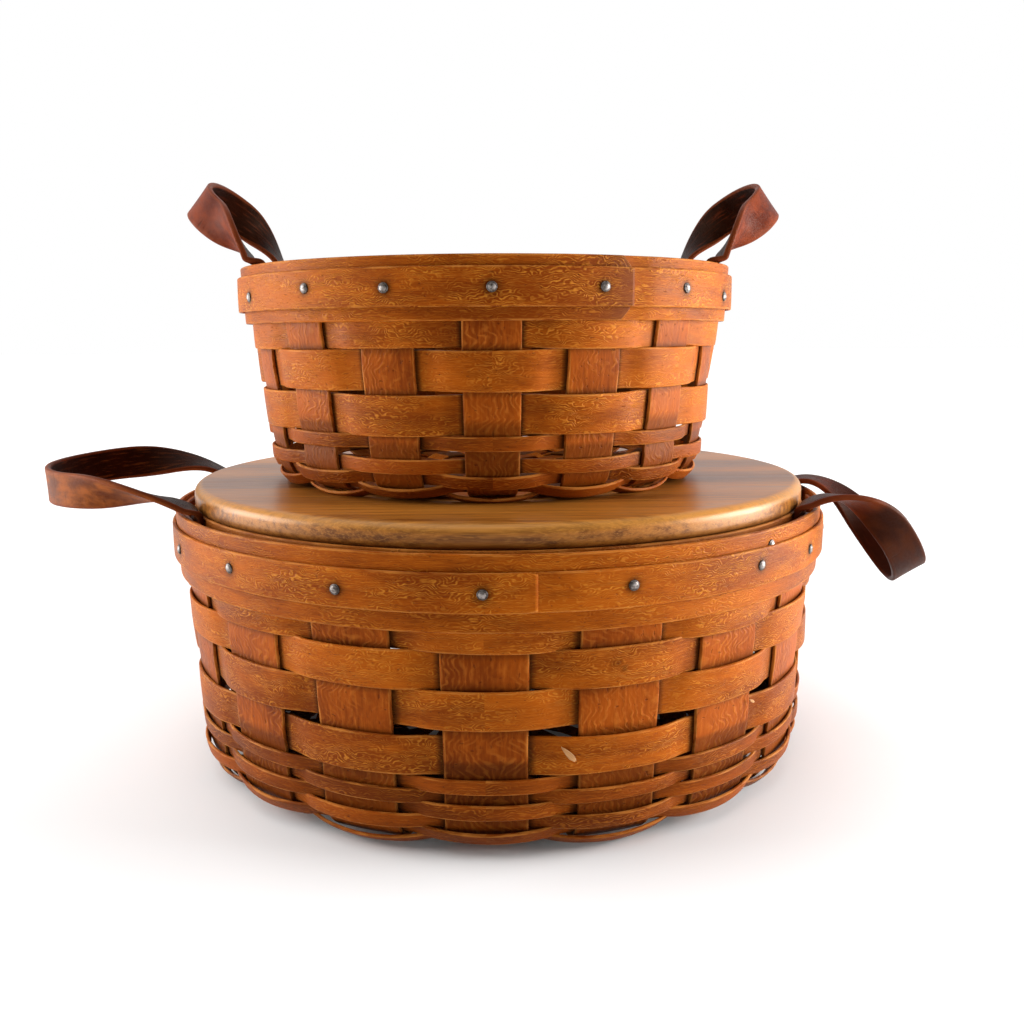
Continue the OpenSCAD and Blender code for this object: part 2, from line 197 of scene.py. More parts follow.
class Graph:
    """A few short names for shader nodes."""

    def __init__(self, name):
        self.material = bpy.data.materials.new(name)
        self.material.use_nodes = True
        self.nodes = self.material.node_tree.nodes
        self.links = self.material.node_tree.links
        self.shader = self.nodes["Principled BSDF"]

    def node(self, kind, inputs=None, **values):
        node = self.nodes.new(kind)
        for key, value in values.items():
            setattr(node, key, value)
        for key, value in (inputs or {}).items():
            self.put(node.inputs[key], value)
        return node

    def put(self, socket, value):
        if isinstance(value, bpy.types.NodeSocket):
            self.links.new(value, socket)
        else:
            socket.default_value = value

    def math(self, kind, a, b=0.0, clamp=False):
        return self.node("ShaderNodeMath", {0: a, 1: b}, operation=kind, use_clamp=clamp).outputs[0]

    def mix(self, share, a, b, kind="MIX"):
        node = self.node("ShaderNodeMix", data_type="RGBA", blend_type=kind, clamp_factor=True)
        self.put(node.inputs[0], share)
        self.put(node.inputs[6], a)
        self.put(node.inputs[7], b)
        return node.outputs[2]

    def band(self, value, low, high, to_low=0.0, to_high=1.0):
        node = self.node("ShaderNodeMapRange", {0: value, 1: low, 2: high, 3: to_low, 4: to_high},
                         interpolation_type="SMOOTHSTEP")
        return node.outputs[0]

    def scaled(self, vector, scale):
        return self.node("ShaderNodeMapping", {"Vector": vector, "Scale": scale}).outputs[0]

    def noise(self, vector, scale, detail=3.0, rough=0.5, distortion=0.0):
        return self.node("ShaderNodeTexNoise", {
            "Vector": vector, "Scale": scale, "Detail": detail, "Roughness": rough,
            "Distortion": distortion}).outputs[0]

    def mark(self, name):
        return self.node("ShaderNodeAttribute", attribute_name=name).outputs["Fac"]

    def bump(self, height, distance, strength=1.0):
        node = self.node("ShaderNodeBump", {"Height": height, "Distance": distance, "Strength": strength})
        self.links.new(node.outputs[0], self.shader.inputs["Normal"])

    def settle(self, colour, rough, **sockets):
        self.put(self.shader.inputs["Base Color"], colour)
        self.put(self.shader.inputs["Roughness"], rough)
        for key, value in sockets.items():
            self.shader.inputs[key.replace("_", " ")].default_value = value
        return self.material


def rgb(r, g, b):
    """A colour given as it looks on screen, 0 to 255."""
    def linear(c):
        c /= 255
        return c / 12.92 if c <= 0.04045 else ((c + 0.055) / 1.055) ** 2.4
    return (linear(r), linear(g), linear(b), 1.0)


def splint(name, dark, mid, light, worn, figure=0.5, swirl=1.0):
    """Stained, oiled splint: fine swirling figure, long fibres, dark pores, worn edges, dark knots, and
    painted shade where the splints cross and on the base.
    The grain runs along the first coordinate of the map, and lengths are in millimetres."""
    g = Graph(name)
    mm = g.scaled(g.node("ShaderNodeTexCoord").outputs["UV"], (1000 * UV_METRES,) * 3)
    across = g.node("ShaderNodeSeparateXYZ", {0: mm}).outputs[1]
    broad = g.noise(g.scaled(mm, (0.022, 0.09, 1)), 1.0, 4.0, 0.6)
    wander = g.noise(g.scaled(mm, (0.13, 0.22, 1)), 1.0, 2.0, 0.45)
    phase = g.math("ADD", g.math("MULTIPLY", across, 7.8), g.math("MULTIPLY", wander, 78.0 * swirl))
    lines = g.band(g.math("SINE", phase), -0.3, 1.0)
    breaks = g.band(g.noise(g.scaled(mm, (0.45, 1.1, 1)), 1.0, 2.0), 0.38, 0.60, 0.25, 1.0)
    patches = g.band(g.noise(g.scaled(mm, (0.05, 0.12, 1)), 1.0, 2.0), 0.38, 0.62, 0.2, 1.0)
    figured = g.math("MULTIPLY", g.math("MULTIPLY", lines, breaks), patches)
    fibre = g.noise(g.scaled(mm, (0.13, 3.0, 1)), 1.0, 4.0, 0.65)
    pores = g.band(g.noise(g.scaled(mm, (0.35, 2.6, 1)), 1.0, 2.0, 0.5), 0.64, 0.74)
    specks = g.band(g.noise(g.scaled(mm, (0.75, 1.2, 1)), 1.0, 1.0, 0.5), 0.70, 0.76)
    tone = g.math("ADD", g.math("MULTIPLY", g.math("SUBTRACT", broad, 0.5), 2.4), g.mark("tone"))
    tone = g.math("ADD", tone, g.math("MULTIPLY", g.math("SUBTRACT", fibre, 0.5), 1.1))
    colour = g.mix(g.band(tone, -0.55, 0.55), dark, mid)
    colour = g.mix(g.math("MULTIPLY", figured, figure), colour, light)
    colour = g.mix(g.math("MULTIPLY", g.band(fibre, 0.52, 0.74), 0.25), colour, light)
    colour = g.mix(g.math("MULTIPLY", pores, 0.5), colour, rgb(62, 22, 3))
    colour = g.mix(g.math("MULTIPLY", specks, 0.5), colour, rgb(58, 20, 3))
    rub = g.math("MULTIPLY", g.band(g.mark("edge"), 0.35, 1.0),
                 g.band(g.noise(g.scaled(mm, (0.08, 0.5, 1)), 1.0, 3.0, 0.6), 0.40, 0.62))
    colour = g.mix(g.math("MULTIPLY", rub, 0.5), colour, worn)
    # painted shade where splints cross and on the base, with dark knots and spots, mixed towards near black
    colour = g.mix(g.math("MULTIPLY", g.mark("shade_and_stain"), 0.9), colour, rgb(22, 6, 1))
    height = g.math("ADD", g.math("MULTIPLY", figured, 0.7), g.math("MULTIPLY", fibre, 0.6))
    height = g.math("SUBTRACT", height, g.math("MULTIPLY", g.math("MAXIMUM", pores, specks), 0.8))
    g.bump(height, 0.00018, 0.7)
    rough = g.math("ADD", g.band(broad, 0.3, 0.7, 0.42, 0.54), g.math("MULTIPLY", pores, 0.15))
    return g.settle(colour, rough, Specular_IOR_Level=0.12, Specular_Tint=(1.0, 0.55, 0.22, 1.0))


def turned_wood(name):
    """The lid: a glued maple board turned round, straight grain along X, with satin varnish."""
    g = Graph(name)
    where = g.node("ShaderNodeTexCoord").outputs["Object"]
    mm = g.scaled(where, (1000, 1000, 1000))
    bow = g.noise(g.scaled(mm, (0.006, 0.02, 0.02)), 1.0, 1.0)
    lift = g.node("ShaderNodeCombineXYZ", {1: g.math("MULTIPLY", bow, 16.0)}).outputs[0]
    bowed = g.node("ShaderNodeVectorMath", {0: mm, 1: lift}, operation="ADD").outputs[0]
    board = g.noise(g.scaled(bowed, (0.0015, 0.028, 0.01)), 1.0, 0.0)
    grain = g.noise(g.scaled(bowed, (0.012, 0.55, 0.55)), 1.0, 5.0, 0.62)
    fine = g.noise(g.scaled(bowed, (0.07, 2.6, 2.6)), 1.0, 3.0, 0.6)
    rays = g.band(g.noise(g.scaled(bowed, (0.18, 1.7, 1.7)), 1.0, 1.0), 0.66, 0.74)
    tone = g.math("ADD", g.math("MULTIPLY", g.math("SUBTRACT", board, 0.5), 1.8),
                  g.math("MULTIPLY", g.math("SUBTRACT", grain, 0.5), 2.2))
    colour = g.mix(g.band(tone, -0.4, 0.4), rgb(104, 54, 12), rgb(178, 110, 36))
    colour = g.mix(g.math("MULTIPLY", g.band(fine, 0.48, 0.66), 0.5), colour, rgb(196, 132, 56))
    colour = g.mix(g.math("MULTIPLY", rays, 0.45), colour, rgb(76, 36, 9))
    # painted highlight along the rounded top edge
    colour = g.mix(g.math("MULTIPLY", g.mark("edge"), 0.45), colour, rgb(204, 144, 66))
    # painted shade down the side of the board and under it
    colour = g.mix(g.math("MULTIPLY", g.mark("shade_and_stain"), 0.8), colour, rgb(52, 24, 8))
    g.bump(g.math("ADD", g.math("MULTIPLY", grain, 0.4), g.math("MULTIPLY", fine, 0.4)), 0.0001, 0.5)
    rough = g.band(grain, 0.3, 0.7, 0.32, 0.42)
    return g.settle(colour, rough, Coat_Weight=0.16, Coat_Roughness=0.3, Specular_IOR_Level=0.35,
                    Specular_Tint=(1.0, 0.75, 0.5, 1.0))


def leather(name, face, lining, mottle, rough_face=0.38):
    """Strap leather: fine grain, creases, a mottled face, a darker lining and burnished edges."""
    g = Graph(name)
    uv = g.node("ShaderNodeTexCoord").outputs["UV"]
    mm = g.scaled(uv, (1000 * UV_METRES,) * 3)
    patches = g.noise(g.scaled(mm, (0.08, 0.14, 0.1)), 1.0, 5.0, 0.62)
    streaks = g.noise(g.scaled(mm, (0.10, 0.9, 1.0)), 1.0, 4.0, 0.6)
    cells = g.node("ShaderNodeTexVoronoi", {"Vector": mm, "Scale": 1.9}, feature="DISTANCE_TO_EDGE")
    pebble = cells.outputs[0]
    crease = g.band(g.noise(g.scaled(mm, (0.7, 0.07, 1.0)), 1.0, 3.0, 0.6), 0.60, 0.72)
    outer = g.mix(g.band(patches, 0.38, 0.66), face, mottle)
    pale_lining = tuple(min(1.0, c * 1.9) for c in lining[:3]) + (1.0,)
    inner = g.mix(g.band(patches, 0.35, 0.7), lining, pale_lining)
    colour = g.mix(g.mark("side"), outer, inner)
    colour = g.mix(g.math("MULTIPLY", g.band(streaks, 0.5, 0.72), 0.3), colour, mottle)
    colour = g.mix(g.math("MULTIPLY", crease, 0.45), colour, rgb(30, 10, 6))
    burnish = g.band(g.mark("edge"), 0.35, 1.0)
    colour = g.mix(g.math("MULTIPLY", burnish, 0.55), colour, rgb(120, 54, 24))
    # painted shade where the strap runs down between the bands
    colour = g.mix(g.math("MULTIPLY", g.mark("shade_and_stain"), 0.8), colour, rgb(22, 8, 4))
    height = g.math("ADD", g.math("MULTIPLY", g.band(pebble, 0.0, 0.25), 0.5),
                    g.math("MULTIPLY", patches, 1.0))
    height = g.math("SUBTRACT", height, g.math("MULTIPLY", crease, 0.8))
    g.bump(height, 0.00018, 0.6)
    rough = g.band(patches, 0.3, 0.7, rough_face, rough_face + 0.14)
    return g.settle(colour, rough, Specular_IOR_Level=0.07, Specular_Tint=(1.0, 0.55, 0.3, 1.0))


def tack_metal(name):
    """Dull domed steel, dark round the rim of each head."""
    g = Graph(name)
    where = g.node("ShaderNodeTexCoord").outputs["Object"]
    stain = g.noise(where, 900.0, 4.0, 0.6)
    scuff = g.noise(where, 5200.0, 2.0, 0.5)
    colour = g.mix(g.band(stain, 0.38, 0.62), rgb(92, 84, 78), rgb(160, 152, 148))
    colour = g.mix(g.math("MULTIPLY", g.mark("shade_and_stain"), 0.9), colour, rgb(34, 22, 16))
    g.bump(g.math("ADD", g.math("MULTIPLY", stain, 0.7), g.math("MULTIPLY", scuff, 0.3)), 0.00012, 0.6)
    rough = g.band(stain, 0.3, 0.7, 0.36, 0.55)
    return g.settle(colour, rough, Metallic=0.82)


WORN = rgb(206, 132, 58)
UPRIGHT = splint("upright_splint", rgb(108, 43, 6), rgb(162, 76, 14), rgb(198, 116, 42), WORN, 0.38, 0.6)
WIDE = splint("wide_splint", rgb(120, 51, 6), rgb(172, 84, 13), rgb(216, 138, 46), WORN, 0.6)
NARROW = splint("narrow_splint", rgb(94, 38, 5), rgb(144, 66, 11), rgb(190, 112, 34), WORN, 0.45, 0.7)
BAND = splint("rim_band", rgb(118, 50, 6), rgb(168, 82, 11), rgb(210, 132, 42), WORN, 0.55, 0.8)
TRIM = splint("trim_strip", rgb(120, 50, 7), rgb(172, 84, 12), rgb(218, 142, 46), WORN, 0.6)
INNER = splint("inner_band", rgb(120, 56, 12), rgb(166, 92, 30), rgb(204, 136, 70), WORN, 0.35)
RAW = splint("raw_wood", rgb(168, 118, 74), rgb(206, 160, 112), rgb(226, 190, 146), rgb(214, 170, 120), 0.3)
LID = turned_wood("lid_varnish")
TACK = tack_metal("tack_steel")
TAN_LEATHER = leather("ear_leather_tan", rgb(92, 42, 15), rgb(30, 6, 1), rgb(152, 82, 34))
BROWN_LEATHER = leather("ear_leather_brown", rgb(72, 26, 8), rgb(58, 18, 8), rgb(106, 48, 18))
RED_LEATHER = leather("ear_leather_red", rgb(82, 28, 12), rgb(24, 5, 1), rgb(122, 52, 26), 0.34)


# ---------------------------------------------------------------- baskets

class Basket:
    """One woven basket, placed by the CAD boxes of its own nodes."""

    def __init__(self, size, body, bend_r, lean, turn, upright_angle, hub_r, tone):
        self.size, self.body, self.tone = size, body, tone
        low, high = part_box(size + "_outer_band")
        self.centre = np.array([(low.x + high.x) / 2, (low.y + high.y) / 2, 0])
        self.rim_r, self.rim_z = (high.x - low.x) / 2, high.z
        self.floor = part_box(size + "_base_weavers")[0].z
        self.tack_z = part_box(size + "_trim_strip")[1].z - TACK_DROP
        self.strips = len([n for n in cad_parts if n.startswith(size + "_strip_")])
        self.uprights = 2 * self.strips
        self.bend_r, self.lean, self.hub_r = bend_r * MM, math.radians(lean), hub_r * MM
        self.turn, self.upright_angle = math.radians(turn), math.radians(upright_angle)
        self.step = 2 * math.pi / self.uprights
        self.sweep = math.pi / 2 - self.lean
        self.bend_len = self.bend_r * self.sweep
        self.bend_top = self.floor + BASE_MID + self.bend_r * (1 - math.cos(self.sweep))
        self.top_r = self.rim_r - ROOT_DROP
        self.foot_r = (self.top_r - self.bend_r * math.sin(self.sweep)
                       - (self.rim_z - self.bend_top) * math.tan(self.lean))
        self.end_s = self.s_at(self.rim_z - RIM_LIP)
        nudges = [TACK_NUDGES[size].get(i, (0.0, 0.0)) for i in range(self.uprights)]
        self.tacks = np.array([(self.heading(i) + math.radians(around), self.tack_z + up * MM)
                               for i, (around, up) in enumerate(nudges)])
        self.rows = []

    def heading(self, i):
        return -math.pi / 2 + self.turn + i * self.step

    def wall(self, s):
        """Radius, height and outward normal of the middle of the wall at s metres from the bend's foot."""
        s = np.asarray(s, float)
        a = np.clip(s / self.bend_r, 0, self.sweep)
        over = np.maximum(s - self.bend_len, 0)
        r = self.foot_r + np.minimum(s, 0) + self.bend_r * np.sin(a) + over * math.sin(self.lean)
        z = self.floor + BASE_MID + self.bend_r * (1 - np.cos(a)) + over * math.cos(self.lean)
        return r, z, np.sin(a), -np.cos(a)

    def s_at(self, z):
        if z > self.bend_top:
            return self.bend_len + (z - self.bend_top) / math.cos(self.lean)
        rise = max(z - self.floor - BASE_MID, 0)
        return self.bend_r * math.acos(1 - rise / self.bend_r)

    def place(self, r, angle, z):
        """Points in the row frame from radii, angles and heights about this basket's axis."""
        r, angle, z = np.broadcast_arrays(r, angle, z)
        return np.stack([self.centre[0] + r * np.cos(angle), self.centre[1] + r * np.sin(angle), z], -1)


def radial(angle, r=1.0, z=0.0):
    angle, r, z = np.broadcast_arrays(np.asarray(angle, float), r, z)
    return np.stack([r * np.cos(angle), r * np.sin(angle), z], -1)


def weave_side(phase, sign, sharp=0.42):
    """1 where a weaver is outside, -1 where it is inside, and smooth between."""
    c = sign * np.cos(math.pi * phase)
    return c / np.sqrt(c * c + sharp * sharp) * math.sqrt(1 + sharp * sharp), c


def weaver_ring(shape, b, s, width, sign, bulge, rng, outline, rise=(0.0, 0.0), knots=(), crown=0.12 * MM,
                tilt=0.10):
    """A closed weaver that passes outside one upright and inside the next. rise lifts it at the front and
    at the back. Each knot is an angle in degrees, and a height off the middle and a size in mm."""
    n = b.uprights * STATIONS_PER_UPRIGHT
    angle = np.arange(n) * 2 * math.pi / n + b.heading(0)
    phase = np.arange(n) / STATIONS_PER_UPRIGHT
    side, c = weave_side(phase, sign)
    wave = rng.uniform(-0.25, 0.25, 3) * MM
    drift = sum(wave[k] * np.sin((k + 2) * angle + 7 * wave[k] / MM) for k in range(3))
    r, z, nr, nz = b.wall(s + drift + rise[0] + (rise[1] - rise[0]) * (1 + np.sin(angle)) / 2)
    off = WEAVE * side + bulge * np.maximum(c, 0) ** 1.5
    mid = b.place(r + off * nr, angle, z + off * nz)
    out = radial(angle, nr, nz)
    lean = tilt * np.maximum(c, 0) * np.sin(3 * angle + wave[0] / MM * 9)
    up = radial(angle, -nz, nr)
    across = unit(up * np.cos(lean)[:, None] + out * np.sin(lean)[:, None])
    out = unit(out * np.cos(lean)[:, None] - up * np.sin(lean)[:, None])
    from_inside = np.arccos(np.clip(-c, -1, 1)) / math.pi
    clear = from_inside - b.upright_angle / (2 * b.step)
    # painted shade on the weaver where it dives behind an upright, fading out past the upright's edges; the
    # knots below are real dark stains
    shade_and_stain = 0.9 * (1 - smooth(clear / 0.05)) + 0.24 * (1 - smooth(clear / 0.28)) * (clear > 0)
    shade_and_stain = np.minimum(shade_and_stain, 0.95)[:, None]
    heights = outline[None, :, 0] * width / 2
    for place, height, size in knots:
        apart = (angle - math.radians(place) + math.pi) % (2 * math.pi) - math.pi
        d = np.hypot(apart[:, None] * b.rim_r, heights - height * MM)
        shade_and_stain = np.maximum(shade_and_stain, 0.75 * np.exp(-(d / (size * MM)) ** 2))
    tone = 0.22 * np.sin(rng.integers(2, 5) * angle + rng.uniform(0, 6)) + rng.uniform(-0.14, 0.14) + b.tone
    width = width * (1 + 0.02 * np.sin(5 * angle + wave[1] / MM * 20))
    strap(shape, mid, across, out, width, WEAVER_T, SPLINT_CORNER, outline, closed=True,
          uv_start=rng.uniform(0, 3, 2), shade_and_stain=shade_and_stain, tone=tone, crown=crown)


def weaver(b, node, width, sign, bulge, material, seed, rise=(0.0, 0.0), knots=()):
    low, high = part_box(node)
    s = b.s_at((low.z + high.z) / 2)
    b.rows.append((s, sign))
    shape = Shape()
    outline = section(13 if width > 8 * MM else 8, 4, 0.1)
    weaver_ring(shape, b, s, width, sign, bulge, np.random.default_rng(seed), outline, rise,
                knots)
    make(node + "_splint", shape, material, [node], b.body)


def base_weavers(b, width, pitch, seed):
    shape, rng = Shape(), np.random.default_rng(seed)
    rows = int((b.foot_r - b.hub_r - 2 * MM) / pitch)
    for row in range(rows):
        s = -(1 * MM + width / 2 + row * pitch)
        weaver_ring(shape, b, s, width, 1 if row % 2 == 0 else -1, -0.04 * MM, rng, section(10, 5, 0.1),
                    crown=0.0, tilt=0.0)
    make(b.size + "_base_splints", shape, WIDE, [b.size + "_base_weavers"], b.body)


def row_side(b, k, sign, q):
    """1 where a row passes outside strip k and -1 where it passes inside, on either arm of the strip."""
    return sign * (1 if k % 2 == 0 else -1) * np.where(q >= 0, 1, 1 if b.strips % 2 == 0 else -1)


def strip(b, k, seed):
    """A strip that runs up one wall, across the base and up the other. q runs along it from its middle."""
    rng = np.random.default_rng(seed)
    total = b.foot_r + b.end_s
    pitch = 1.6 * MM
    q = np.concatenate([-total + np.arange(0, total, pitch), np.linspace(0, total, int(total / pitch))])
    s = np.abs(q) - b.foot_r
    r, z, nr, nz = b.wall(s)
    rows = sorted(b.rows)
    push = 0.0
    for row_s, sign in rows:
        push = push - 0.32 * MM * row_side(b, k, sign, q) * np.exp(-((s - row_s) / (5 * MM)) ** 2)
    stacked = (k * HUB_PITCH + HUB_T / 2 - BASE_MID) * (1 - smooth((r - b.hub_r + 5 * MM) / (6 * MM)))
    turn = b.heading(k)
    way = np.where(q >= 0, 1.0, -1.0)
    flat = np.stack([math.cos(turn) * way, math.sin(turn) * way, 0 * way], -1)
    mid = (flat * (r + push * nr)[:, None] + np.stack([0 * r, 0 * r, z + push * nz + stacked], -1)
           + b.centre)
    out = flat * nr[:, None] + np.stack([0 * r, 0 * r, nz], -1)
    across = np.broadcast_to(np.array([-math.sin(turn), math.cos(turn), 0.0]), mid.shape)
    width = 2 * np.maximum(r, b.hub_r) * math.sin(b.upright_angle / 2)
    width = width * (1 + 0.012 * np.sin(q * 90 + seed))
    thick = np.where(r < b.hub_r, HUB_T, UPRIGHT_T)
    sag = 0.85 * nr / (2 * np.maximum(r, 20 * MM))
    # painted shade on the upright under and beside each weaver that crosses outside it
    row_and_base_shade = 0.0
    for row_s, sign in rows:
        covered = row_side(b, k, sign, q) > 0
        gap = np.abs(s - row_s) - np.where(covered, 6.6 * MM, 0)
        row_and_base_shade = np.maximum(row_and_base_shade, 0.55 * (1 - smooth(gap / (2.4 * MM))) * covered)
    # painted shade over the base strips, fading out up the bend
    row_and_base_shade = np.maximum(row_and_base_shade, 0.5 * (1 - smooth((s + 1 * MM) / (7 * MM))))
    tone = rng.uniform(-0.18, 0.18) + 0.14 * np.sin(q * 45 + seed) + 2 * max(b.tone, 0)
    shape = Shape()
    strap(shape, mid, across, out, width, thick, SPLINT_CORNER, section(17, 5, 0.07),
          uv_start=rng.uniform(0, 3, 2), sag=sag, shade_and_stain=row_and_base_shade, tone=tone)
    node = f"{b.size}_strip_{k + 1}"
    make(node + "_splint", shape, UPRIGHT, [node], b.body)


def band(b, node, thick, lean, material, seed, end_angle=None, overlap=0.0, end_tone=0.0,
         end_darkening=0.0, clip=0.0, tack_darkening=0.0, stations=720):
    """A rim band. Where end_angle is given, its end laps over its start and is cut back at the corners."""
    rng = np.random.default_rng(seed)
    low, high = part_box(node)
    r_out, height = (high.x - low.x) / 2, high.z - low.z
    closed = end_angle is None
    x = np.linspace(0, 2 * math.pi + overlap, stations, endpoint=not closed)
    angle = x + (0 if closed else end_angle - overlap)
    t = thick * ONES(stations)
    r_inner = (r_out - thick) * ONES(stations)
    width = height * (1 + 0 * x)
    if not closed:
        under = 1 - smooth((x - overlap) / 0.10)
        over = smooth((x - 2 * math.pi + 0.03) / 0.06)
        t = t * (1 - 0.55 * np.maximum(under, over))
        r_inner = r_inner + over * 0.46 * thick
        to_end = (x[-1] - x) * r_out
        width = width * (1 - clip * np.clip(1 - to_end / (3.2 * MM), 0, 1))
    ripple = sum(rng.uniform(-0.12, 0.12) * MM * np.sin((k + 2) * angle + rng.uniform(0, 6))
                 for k in range(4))
    drop = lean * height / 2
    mid = b.place(r_inner + t / 2 - drop, angle, (low.z + high.z) / 2 + ripple * 0.3)
    out = radial(angle, math.cos(lean), -math.sin(lean))
    across = radial(angle, math.sin(lean), math.cos(lean))
    rows = max(9, int(height / (1.1 * MM)))
    outline = section(rows, 6, 1.2 * MM / height)
    tone = 0.12 * np.sin(angle * 3 + seed) + 0.1 * np.sin(angle * 7 + 2 * seed)
    if not closed:
        tone = tone + end_tone * smooth((x - 2 * math.pi + 0.55) / 0.5)
    shape = Shape()
    shade_and_stain = np.zeros((stations, len(outline)))
    # darker towards the tip of the lapped end
    if not closed:
        shade_and_stain += end_darkening * smooth((x - x[-1] + 0.2) / 0.16)[:, None]
    # darker in a ring round each tack head
    if tack_darkening:
        zs = (low.z + high.z) / 2 + outline[:, 0] * height / 2 * math.cos(lean)
        apart = (angle[:, None] - b.tacks[None, :, 0] + math.pi) % (2 * math.pi) - math.pi
        nearest = np.argmin(np.abs(apart), axis=1)
        near = apart[np.arange(stations), nearest]
        d = np.hypot(near[:, None] * r_out, zs[None, :] - b.tacks[nearest, 1][:, None])
        shade_and_stain = np.maximum(shade_and_stain, tack_darkening * np.exp(-(np.maximum(d - 1.8 * MM, 0) / (1.1 * MM)) ** 1.2))
    strap(shape, mid, across, out, width, t, 0.42 * MM, outline, closed=closed,
          uv_start=rng.uniform(0, 3, 2), tone=tone, shade_and_stain=shade_and_stain, crown=0.08 * MM)
    make(node + "_wood", shape, material, [node], b.body)


def sliver(name, node, start, end, out, width, thick, body):
    """A pale flake or splinter of a node's wood, widest in the middle and pointed at its end."""
    shape = Shape()
    mid = start + (end - start) * np.linspace(0, 1, 5)[:, None]
    out = np.broadcast_to(out, mid.shape)
    across = unit(np.cross(end - start, out))
    taper = np.array([0.45, 1, 0.9, 0.6, 0.1])
    strap(shape, mid, across, out, width * taper, thick * ONES(5), 0.1 * MM, section(5, 3, 0.2))
    make(name, shape, RAW, [node], body)


def on_wall(b, angle, z, off):
    """A point off millimetres outside the middle of the wall, and the outward normal there."""
    r, height, nr, nz = b.wall(b.s_at(z))
    angle = math.radians(angle)
    return b.place(r + off * MM * nr, angle, height + off * MM * nz), radial(angle, nr, nz)


def turned(shape, centre, profile, segments, marks, axis_frame=None):
    """A shape turned about an axis. profile is (radius, height) from the middle of one end to the other."""
    profile = np.array(profile, float)
    n, m = segments, len(profile)
    a = np.arange(n) * 2 * math.pi / n
    local = np.stack([profile[:, 0][None] * np.cos(a)[:, None], profile[:, 0][None] * np.sin(a)[:, None],
                      np.broadcast_to(profile[:, 1], (n, m))], -1).reshape(-1, 3)
    verts = (local @ axis_frame if axis_frame is not None else local) + centre
    i, j = np.meshgrid(np.arange(n), np.arange(m - 1), indexing="ij")
    i, j = i.ravel(), j.ravel()
    i2 = (i + 1) % n
    quads = np.stack([i * m + j, i * m + j + 1, i2 * m + j + 1, i2 * m + j], 1)
    uv = np.stack([local[quads][..., 0], local[quads][..., 1]], -1) / UV_METRES
    all_marks = np.tile(np.asarray(marks, float), (n, 1))
    shape.add(verts, all_marks, list(quads), list(uv))


def tacks(b, seed, extra=()):
    """Domed heads with a pressed rim, driven through the bands at every upright. Extra tacks have an
    angle, a height and a depth they are driven in."""
    shape, rng = Shape(), np.random.default_rng(seed)
    low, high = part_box(b.size + "_trim_strip")
    seat = (high.x - low.x) / 2
    profile = [(0.01, 0.92), (0.45, 0.9), (0.9, 0.8), (1.2, 0.62), (1.36, 0.5), (1.46, 0.52), (1.6, 0.42),
               (1.7, 0.2), (1.72, 0.0), (1.65, -0.08), (0.5, -0.1), (0.5, -4.2), (0.01, -4.4)]
    marks = [(0, d, 0, 0) for d in (0, 0, 0, 0.3, 0.95, 0.6, 0.5, 0.9, 1, 1, 1, 1, 1)]
    profile = [(r * MM, h * MM) for r, h in profile]
    for angle, z, depth in [(turn, z, 0.0) for turn, z in b.tacks] + list(extra):
        tip, tilt = rng.uniform(-0.10, 0.10, 2)
        out = unit(np.array([math.cos(angle), math.sin(angle), tilt]))
        side = unit(np.cross([0, 0, 1.0], out) + out * tip * 0.3)
        up = np.cross(out, side)
        centre = b.place(seat + 0.02 * MM - depth, angle, z)
        turned(shape, centre, profile, 28, marks, np.array([side, up, out]))
    make(b.size + "_tacks", shape, TACK, [b.size + "_rim_tacks"], b.body)


def lid():
    low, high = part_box("lid")
    radius, top = (high.x - low.x) / 2, high.z
    board_t = 8.1 * MM
    under = top - board_t
    step_r, edge = radius - 2.5 * MM, 3.4 * MM
    flat = [(r, top) for r in np.concatenate([[0.02 * MM], np.linspace(8 * MM, radius - edge - 1 * MM, 24)])]
    roll = [(radius - edge + edge * math.sin(t), top - edge + edge * math.cos(t))
            for t in np.radians(np.arange(0, 91, 9))]
    side = [(radius, top - edge - k * (board_t - edge - 1.1 * MM) / 3) for k in (1, 2, 3)]
    foot = [(radius - 0.25 * MM, under + 0.4 * MM), (radius - 0.9 * MM, under), (step_r + 0.1 * MM, under),
            (step_r, under - 0.2 * MM), (step_r, low.z + 0.6 * MM), (step_r - 0.6 * MM, low.z)]
    back = [(r, low.z) for r in np.linspace(step_r - 3 * MM, 0.02 * MM, 20)]
    profile = flat + roll + side + foot + back
    marks = [(0, 0, 0, 0)] * len(flat)
    # painted highlight across the middle of the rounded edge
    marks += [(0.9 * math.sin(math.radians(18 * i)), 0, 0, 0) for i in range(len(roll))]
    # painted shade growing down the side of the board and under its foot
    marks += [(0, d, 0, 0) for d in (0.05, 0.2, 0.5)] + [(0, d, 0, 0) for d in (0.8, 1, 1, 0.9, 0.5, 0.2)]
    marks += [(0, 0, 0, 0)] * len(back)
    shape = Shape()
    turned(shape, np.zeros(3), profile, 288, marks)
    shape.faces = [f[::-1] for f in shape.faces]
    shape.uvs = [u[::-1] for u in shape.uvs]
    make("lid_board", shape, LID, ["lid"], "lid")


